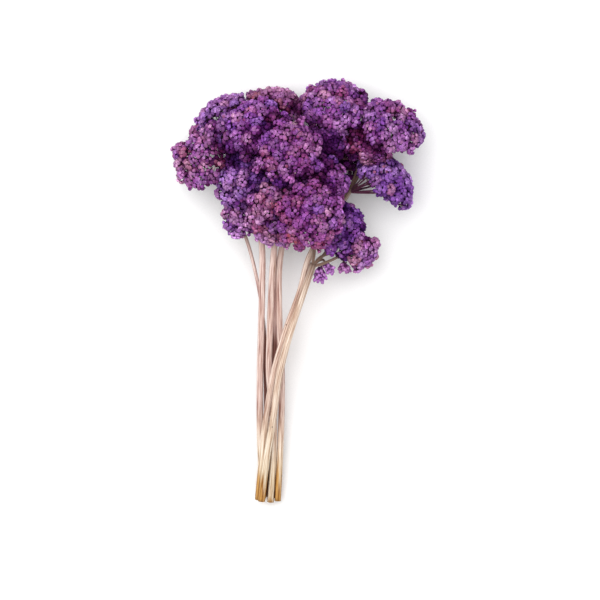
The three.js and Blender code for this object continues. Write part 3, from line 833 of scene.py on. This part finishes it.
def dry_stem():
    """Dry hollow straw: fibres run along it, pale and pinkish with brown grooves, ochre near the cut end, and
    plum brown where the limbs drank the dye. The lowest stalks are painted red brown toward their cut ends,
    as the shade in the gaps between the stalks over them."""
    material, tree, shader = new_material("dry_yarrow_stem", 0.6)
    ochre, blush, dyed, gap_shade = (
        node(tree, "ShaderNodeAttribute", attribute_name=name).outputs["Fac"]
        for name in ("ochre", "blush", "dyed", "gap_shade")
    )
    # the wrap map counts millimetres round the stem and lengths of 30 mm along it: see WRAP_LENGTH
    wrap = node(tree, "ShaderNodeUVMap", uv_map="wrap").outputs["UV"]
    # real fibres are a third of a millimetre wide; they are drawn at 1.2 mm, so that they show
    narrow = node(tree, "ShaderNodeMapping", {"Vector": wrap, "Scale": (0.8, 1.0, 1)}).outputs["Vector"]
    fibre = node(
        tree, "ShaderNodeTexNoise", {"Vector": narrow, "Scale": 1.0, "Detail": 5.0, "Roughness": 0.6}
    ).outputs["Fac"]
    wide = node(tree, "ShaderNodeMapping", {"Vector": wrap, "Location": (7, 3, 0), "Scale": (0.3, 0.7, 1)})
    band = node(
        tree, "ShaderNodeTexNoise", {"Vector": wide.outputs["Vector"], "Scale": 1.0, "Detail": 2.0}
    ).outputs["Fac"]
    straw, pink, golden, plum, brown = (
        node(tree, "ShaderNodeValToRGB", {"Fac": fibre}, stops).outputs["Color"]
        for stops in (
            ((0.32, "#7e5e40"), (0.43, "#bca080"), (0.53, "#dccbb0"), (0.66, "#efe6d6")),
            ((0.32, "#7c4c48"), (0.43, "#b48f88"), (0.53, "#d4b8b0"), (0.66, "#ecdad2")),
            ((0.3, "#4e2608"), (0.43, "#8e5c26"), (0.55, "#c0904e"), (0.7, "#dcb880")),
            ((0.3, "#1e0c10"), (0.5, "#43221f"), (0.7, "#7a524a")),
            ((0.3, "#32100a"), (0.5, "#5e2c22"), (0.7, "#8a5a4a")),
        )
    )
    patch = node(tree, "ShaderNodeMath", {0: band, 1: 1.6, 2: -0.8}, operation="MULTIPLY_ADD").outputs[0]
    reach = node(tree, "ShaderNodeMath", {0: ochre, 1: patch}, operation="ADD").outputs[0]
    turned = node(
        tree,
        "ShaderNodeMapRange",
        {"Value": reach, "From Min": 0.25, "From Max": 0.8},
        interpolation_type="SMOOTHSTEP",
    ).outputs["Result"]
    # the last mix is the painted shade on the lowest stalks
    body = straw
    for share, shade in ((blush, pink), (turned, golden), (dyed, plum), (gap_shade, brown)):
        body = node(tree, "ShaderNodeMix", {0: share, 6: body, 7: shade}, data_type="RGBA").outputs[2]
    tree.links.new(body, shader.inputs["Base Color"])
    bump = node(tree, "ShaderNodeBump", {"Height": fibre, "Strength": 0.6, "Distance": 0.0004})
    tree.links.new(bump.outputs["Normal"], shader.inputs["Normal"])
    return material


def stem_pith():
    """Spongy pith in a cut end: pale cells about 0.3 mm across."""
    material, tree, shader = new_material("dry_stem_pith", 0.95)
    place = node(tree, "ShaderNodeTexCoord").outputs["Object"]
    cells = node(tree, "ShaderNodeTexVoronoi", {"Vector": place, "Scale": 3300.0}).outputs["Distance"]
    colour = node(tree, "ShaderNodeValToRGB", {"Fac": cells}, ((0.0, "#f0e3ca"), (0.7, "#b89468")))
    tree.links.new(colour.outputs["Color"], shader.inputs["Base Color"])
    return material


def leaf_scar():
    """The dry dark bark where a leaf broke off, rough with grains of about 0.2 mm."""
    material, tree, shader = new_material("dry_leaf_scar", 0.9)
    place = node(tree, "ShaderNodeTexCoord").outputs["Object"]
    grain = node(tree, "ShaderNodeTexNoise", {"Vector": place, "Scale": 5000.0}).outputs["Fac"]
    colour = node(tree, "ShaderNodeValToRGB", {"Fac": grain}, ((0.35, "#3d3230"), (0.65, "#7d6c64")))
    tree.links.new(colour.outputs["Color"], shader.inputs["Base Color"])
    return material


def white_card():
    """The matt white card that the bunch lies on, with a paper tooth of about 1 mm."""
    material, tree, shader = new_material("matt_white_card", 0.95)
    place = node(tree, "ShaderNodeTexCoord").outputs["Object"]
    tooth = node(tree, "ShaderNodeTexNoise", {"Vector": place, "Scale": 1000.0}).outputs["Fac"]
    colour = node(tree, "ShaderNodeValToRGB", {"Fac": tooth}, ((0.3, "#f7f7f7"), (0.7, "#fcfcfc")))
    tree.links.new(colour.outputs["Color"], shader.inputs["Base Color"])
    return material


# The heads, grown from copies of the flower and the twig

# half the thickness of each kind of twig, at its foot
BOUGH_THICK = 0.95
BRANCH_THICK = 0.55
SPRAY_THICK = 0.5
PEDICEL_THICK = 0.28
FOOT_SUNK = 0.4  # how far a pedicel goes into its flower


def shades(vertices):
    """How light a flower is painted, dark in its cup and in the notches between its rays as painted shade and
    paler at the tips where the bleach falls, and how much of it is its middle.
    """
    out = np.linalg.norm(vertices[:, :2], axis=1)
    top = vertices[:, 2] > -1.0
    lobe = np.where(top, np.interp(out, (0, 1.2, 1.5, 2.0), (0.75, 0.7, 0.3, 1.0)), 0.05)
    return lobe, top * (out < 1.3) * 0.85


def grow_flower(growth, one, kinds, pedicel, held, tone, draw):
    """One flower, crumpled in its own way, and the pedicel that holds it."""
    vertices, faces = kinds[one["kind"]]
    lobe, middle = shades(vertices)
    size = one["scale"] * np.array((1, 1, one["stretch"]))
    crumpled = (vertices + draw.normal(0, CRUMPLE, vertices.shape)) * size
    place = crumpled @ frame_to(one["facing"], one["spin"]).T + np.array(one["top"])
    # deep carries each flower's painted shade
    dye = {name: one[name] for name in ("tone", "blush", "fade", "rust", "deep")}
    growth.add(place, faces, 0, True, lobe=lobe, middle=middle, **dye)
    add_twig(growth, pedicel, (*held, one["foot"] + one["facing"] * FOOT_SUNK), PEDICEL_THICK, tone)


def grow_head(head, over, kinds, twig, pedicel, materials, seed):
    """A head's boughs, branches, pedicels and flowers, as one piece in place of its solid."""
    draw = np.random.default_rng(seed)
    stem = STEMS[head.stalk]
    limb = smooth_run(limb_run(stem.run, head, stem.radius * NECK_TAPER)[:-1], 24)[0]
    growth = Growth()
    for root, fork, held in set_out(head, over, limb, draw):
        bend = root.lerp(fork, 0.45) - head.axis * (0.04 * head.radius)
        add_twig(growth, twig, (root, bend, fork), BOUGH_THICK, draw.uniform(0.1, 0.6))
        for flowers, knot in held:
            bend = fork.lerp(knot, 0.5) + head.axis * (0.05 * head.radius)
            add_twig(growth, twig, (fork, bend, knot), BRANCH_THICK, draw.uniform(0.0, 0.6))
            for one in flowers:
                bend = knot * 0.35 + one["foot"] * 0.65 - (knot - head.centre).normalized() * 0.6
                grow_flower(growth, one, kinds, pedicel, (knot, bend), draw.uniform(0.0, 0.8), draw)
    for root, middle, count, spread in SPRAYS.get(head.name, ()):
        root = Vector(root)
        add_twig(growth, twig, (limb[-1], limb[-1].lerp(root, 0.5), root), SPRAY_THICK, 0.5)
        for one in spray(head, root, Vector(middle), count, spread, draw):
            bend = root.lerp(one["foot"], 0.5) + Vector(draw.normal(0, 1.0, 3))
            grow_flower(growth, one, kinds, pedicel, (root, bend), draw.uniform(0.9, 1.0), draw)
    piece = growth.piece(head.name + "_flowers", materials)
    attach(piece, "root")
    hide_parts(head.name)


# The stalks

WRAP_LENGTH = 30  # the length of a stem that is one along its wrap map
LIMB_THICK = 1.35  # a limb's radius at its stem, and at its head
LIMB_THIN = 0.9
SCAR_RADIUS = 0.55
SCAR_OUT = 0.97  # how far out its middle is, as a share of the way to the bark
# leaf scars, each by its place along the bunch and the side of the stem that it is on
SCARS = {"stalk_6": [(-27, -0.5)], "stalk_7": [(-110, 0.1)], "stalk_5": [(-150, 0.9)]}
# the stalks that lie lowest are painted red brown up to here, along the bunch, as the shade in the gaps
# between the stalks over them
GAP_SHADE_TO = {"stalk_1": -10, "stalk_3": -24}
# ochre patches further up, each by its place and its length
OCHRE_PATCHES = {"stalk_4": [((-18.4, 17), 13)]}


def smooth_run(points, count):
    """Evenly spaced places along a centripetal curve through the points, and its length."""
    points = [Vector(p) for p in points]
    padded = [2 * points[0] - points[1], *points, 2 * points[-1] - points[-2]]
    fine = []
    # between b and c, each place is a mean of means of the four points, weighted by how far along the
    # curve it is; the spacing goes by the square root of the gaps, which keeps the curve from looping
    for a, b, c, d in zip(padded, padded[1:], padded[2:], padded[3:]):
        gaps = [math.sqrt((q - p).length) for p, q in ((a, b), (b, c), (c, d))]
        t1, t2, t3 = gaps[0], gaps[0] + gaps[1], sum(gaps)
        for k in range(24):
            t = t1 + (t2 - t1) * k / 24
            ab = a * ((t1 - t) / t1) + b * (t / t1)
            bc = b * ((t2 - t) / gaps[1]) + c * ((t - t1) / gaps[1])
            cd = c * ((t3 - t) / gaps[2]) + d * ((t - t2) / gaps[2])
            abc = ab * ((t2 - t) / t2) + bc * (t / t2)
            bcd = bc * ((t3 - t) / (t3 - t1)) + cd * ((t - t1) / (t3 - t1))
            fine.append(abc * ((t2 - t) / gaps[1]) + bcd * ((t - t1) / gaps[1]))
    fine.append(points[-1])
    lengths = [0.0]
    for p, q in zip(fine, fine[1:]):
        lengths.append(lengths[-1] + (q - p).length)
    wanted = np.linspace(0, lengths[-1], count)
    spots = np.array(fine)
    run = np.column_stack([np.interp(wanted, lengths, spots[:, i]) for i in range(3)])
    return [Vector(p) for p in run], lengths[-1]


def tube_by_hand(name, points, thick, thin, sides, cuts, materials, dyed, rib, sharp=1):
    """A tapered ribbed tube: a cylinder cut across, ribbed, and bent along its run. Its share of dye
    goes from the first to the second, the more suddenly the greater sharp is."""
    run, length = smooth_run(points, 64)
    path = bpy.data.curves.new(name + "_path", "CURVE")
    path.dimensions = "3D"
    spline = path.splines.new("POLY")
    spline.points.add(len(run) - 1)
    for point, place in zip(spline.points, run):
        point.co = (*place, 1)
    path_object = bpy.data.objects.new(name + "_path", path)
    bpy.context.collection.objects.link(path_object)
    deselect_all()
    bpy.ops.mesh.primitive_cylinder_add(
        vertices=sides, radius=1, depth=length, location=(0, 0, length / 2), end_fill_type="NGON"
    )
    tube = bpy.context.object
    tube.name = name
    cut_across(length, cuts)
    shade = tube.data.attributes.new("dyed", "FLOAT", "POINT")
    for vertex in tube.data.vertices:
        share = vertex.co.z / length
        side = round(math.atan2(vertex.co.x, vertex.co.y) / (2 * math.pi) * sides)
        wide = (thick + (thin - thick) * share) * (1 - (rib if side % 2 else 0))
        vertex.co.x *= wide
        vertex.co.y *= wide
        shade.data[vertex.index].value = dyed[0] + (dyed[1] - dyed[0]) * max(share, 0) ** sharp
    layer = tube.data.uv_layers[0]
    layer.name = "wrap"
    for loop in tube.data.loops:
        co = tube.data.vertices[loop.vertex_index].co
        layer.data[loop.index].uv = (layer.data[loop.index].uv[0] * 2 * math.pi * thick, co.z / WRAP_LENGTH)
    bend = tube.modifiers.new("bend", "CURVE")
    bend.object = path_object
    bend.deform_axis = "POS_Z"
    bpy.ops.object.modifier_apply(modifier="bend")
    bpy.data.objects.remove(path_object, do_unlink=True)
    for polygon in tube.data.polygons:
        polygon.use_smooth = len(polygon.vertices) == 4
    for material in materials:
        tube.data.materials.append(material)
    return tube


def limb_run(points, head, radius):
    """The curve of a limb, from the crown of its stem to the underside of its head."""
    before, crown = Vector(points[-2]), Vector(points[-1])
    way = (crown - before).normalized()
    start = crown - way * radius
    if head.via:
        run = [start, *head.via, head.hub]
    else:
        reach = (head.hub - start).length / 3
        a, b, c, d = start, start + way * reach, head.hub - head.axis * reach, head.hub
        run = [
            a * (1 - t) ** 3 + 3 * b * t * (1 - t) ** 2 + 3 * c * t**2 * (1 - t) + d * t**3
            for t in (0, 0.25, 0.5, 0.75, 1)
        ]
    return run if head.tip == head.hub else [*run, head.tip]


def cut_end(stem, radius):
    """Sink the pith a little into the cut end."""
    deselect_all()
    stem.select_set(True)
    bpy.context.view_layer.objects.active = stem
    bpy.ops.object.mode_set(mode="EDIT")
    mesh = bmesh.from_edit_mesh(stem.data)
    foot = min(mesh.faces, key=lambda f: f.calc_center_median().y if len(f.verts) > 4 else 1e9)
    place = foot.calc_center_median().copy()
    pick("FACE", lambda f: len(f.verts) > 4 and (f.calc_center_median() - place).length < 0.1)
    bpy.ops.mesh.inset(thickness=0.28 * radius, depth=-0.12 * radius)
    bpy.ops.object.mode_set(mode="OBJECT")
    for polygon in stem.data.polygons:
        if polygon.select:
            polygon.material_index = 1


def scar_by_hand(spot, materials):
    """A leaf scar: a low oval boss."""
    deselect_all()
    bpy.ops.mesh.primitive_uv_sphere_add(segments=10, ring_count=6, radius=SCAR_RADIUS, location=spot)
    scar = bpy.context.object
    bpy.ops.transform.resize(value=(0.75, 1.5, 0.55))
    bpy.ops.object.transform_apply(location=True, rotation=True, scale=True)
    for material in materials:
        scar.data.materials.append(material)
    for polygon in scar.data.polygons:
        polygon.material_index = 2
        polygon.use_smooth = True
    return scar


def grow_stalk(name, materials):
    """A stalk's stem, leaf scars and limbs, as one piece in place of its solid."""
    plan = STEMS[name]
    neck = plan.radius * NECK_TAPER
    dyed = (0, 0.8)
    stem = tube_by_hand(
        name + "_stem", plan.run, plan.radius, neck, 24, 70, materials, dyed, rib=0.045, sharp=14
    )
    cut_end(stem, plan.radius)
    parts = [stem]
    run, _ = smooth_run(plan.run, 200)
    for y, side in SCARS.get(name, []):
        spot = min(run, key=lambda p: abs(p.y - y))
        share = run.index(spot) / (len(run) - 1)
        wide = plan.radius + (neck - plan.radius) * share
        outward = Vector((side, 0, math.sqrt(1 - side**2)))
        parts.append(scar_by_hand(spot + outward * (wide * SCAR_OUT), materials))
    # the limbs of the stalk in front are paler at their foot than the others
    dyed = (0.55, 1) if name == "stalk_7" else (0.8, 1)
    for head in HEADS:
        if head.stalk == name:
            run = limb_run(plan.run, head, neck)
            thick = min(LIMB_THICK, neck * 0.85)
            limb = tube_by_hand(name + "_limb", run, thick, LIMB_THIN, 12, 18, materials, dyed, rib=0.06)
            parts.append(limb)
    deselect_all()
    for part in parts:
        part.select_set(True)
    bpy.context.view_layer.objects.active = stem
    bpy.ops.object.join()
    stem.name = name + "_straw"
    bpy.ops.transform.resize(value=(MM, MM, MM), center_override=(0, 0, 0))
    bpy.ops.object.transform_apply(location=True, rotation=True, scale=True)
    # the straw is ochre at the cut end and turns pink 20 to 80 mm from it, and on the lowest stalks it is
    # painted red brown lower down, as the shade between the stalks over them; nothing lies as low as -400, so
    # that the other stalks get none of this painted shade
    places = np.array([v.co[:] for v in stem.data.vertices]) / MM
    far = np.linalg.norm(places - np.array(plan.run[0]), axis=1)
    turned = np.clip(1.1 - far / (2 * plan.ochre), 0, 1)
    for (x, y), length in OCHRE_PATCHES.get(name, ()):
        near = ((places[:, 1] - y) / length) ** 2 + ((places[:, 0] - x) / 3) ** 2
        turned = np.maximum(turned, 0.42 * np.exp(-near))
    values_of = {
        "ochre": turned,
        "blush": plan.pink * np.clip((far - 20) / 60, 0, 1),
        "gap_shade": np.clip((GAP_SHADE_TO.get(name, -400) - places[:, 1]) / 20, 0, 0.9),
    }
    for attribute, values in values_of.items():
        stem.data.attributes.new(attribute, "FLOAT", "POINT").data.foreach_set("value", values)
    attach(stem, "root")
    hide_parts(name)


# The bunch

petals_and_twigs = [dyed_petals(), dyed_twigs()]
stem_finishes = [dry_stem(), stem_pith(), leaf_scar()]
folded = read_mesh(flower_by_hand(1.8, 0.86, -0.15))
spread = read_mesh(flower_by_hand(2.1, 0.72, 0.1))
twig = read_mesh(twig_by_hand(4, 3))
pedicel = read_mesh(twig_by_hand(3, 1))
for index, head in enumerate(HEADS):
    grow_head(head, HEADS[:index], (folded, spread), twig, pedicel, petals_and_twigs, 100 + index)
for name in STEMS:
    grow_stalk(name, stem_finishes)

# The camera, light and table, in metres

SENSOR = 36  # the width of the camera's film, in its own millimetres
HALF_VIEW = 0.24  # half the width of what the camera sees, this far below it
VIEW_DEPTH = 2.2
SKY_STRENGTH = 0.72

deselect_all()
bpy.ops.mesh.primitive_plane_add(size=4, location=(0, 0, -0.0002))
table = bpy.context.object
table.name = "table"
table.data.materials.append(white_card())

camera = bpy.data.objects.new("camera", bpy.data.cameras.new("camera"))
bpy.context.collection.objects.link(camera)
camera.location = (0.002, -0.0072, 2.25)
camera.data.sensor_width = SENSOR
camera.data.lens = 0.5 * SENSOR / (HALF_VIEW / VIEW_DEPTH)
bpy.context.scene.camera = camera

for name, place, size, power in (
    ("softbox", (-0.45, 0.4, 1.5), 1.7, 23),
    ("fill", (0.7, -0.5, 1.4), 1.2, 3),
):
    lamp = bpy.data.objects.new(name, bpy.data.lights.new(name, "AREA"))
    lamp.data.size = size
    lamp.data.energy = power
    lamp.location = place
    lamp.rotation_euler = (Vector((0, 0, 0)) - Vector(place)).to_track_quat("-Z", "Y").to_euler()
    bpy.context.collection.objects.link(lamp)
world = bpy.data.worlds.new("studio")
bpy.context.scene.world = world
world.use_nodes = True
sky = world.node_tree.nodes["Background"]
sky.inputs["Color"].default_value = (1, 1, 1, 1)
sky.inputs["Strength"].default_value = SKY_STRENGTH
bpy.context.scene.view_settings.view_transform = "Standard"
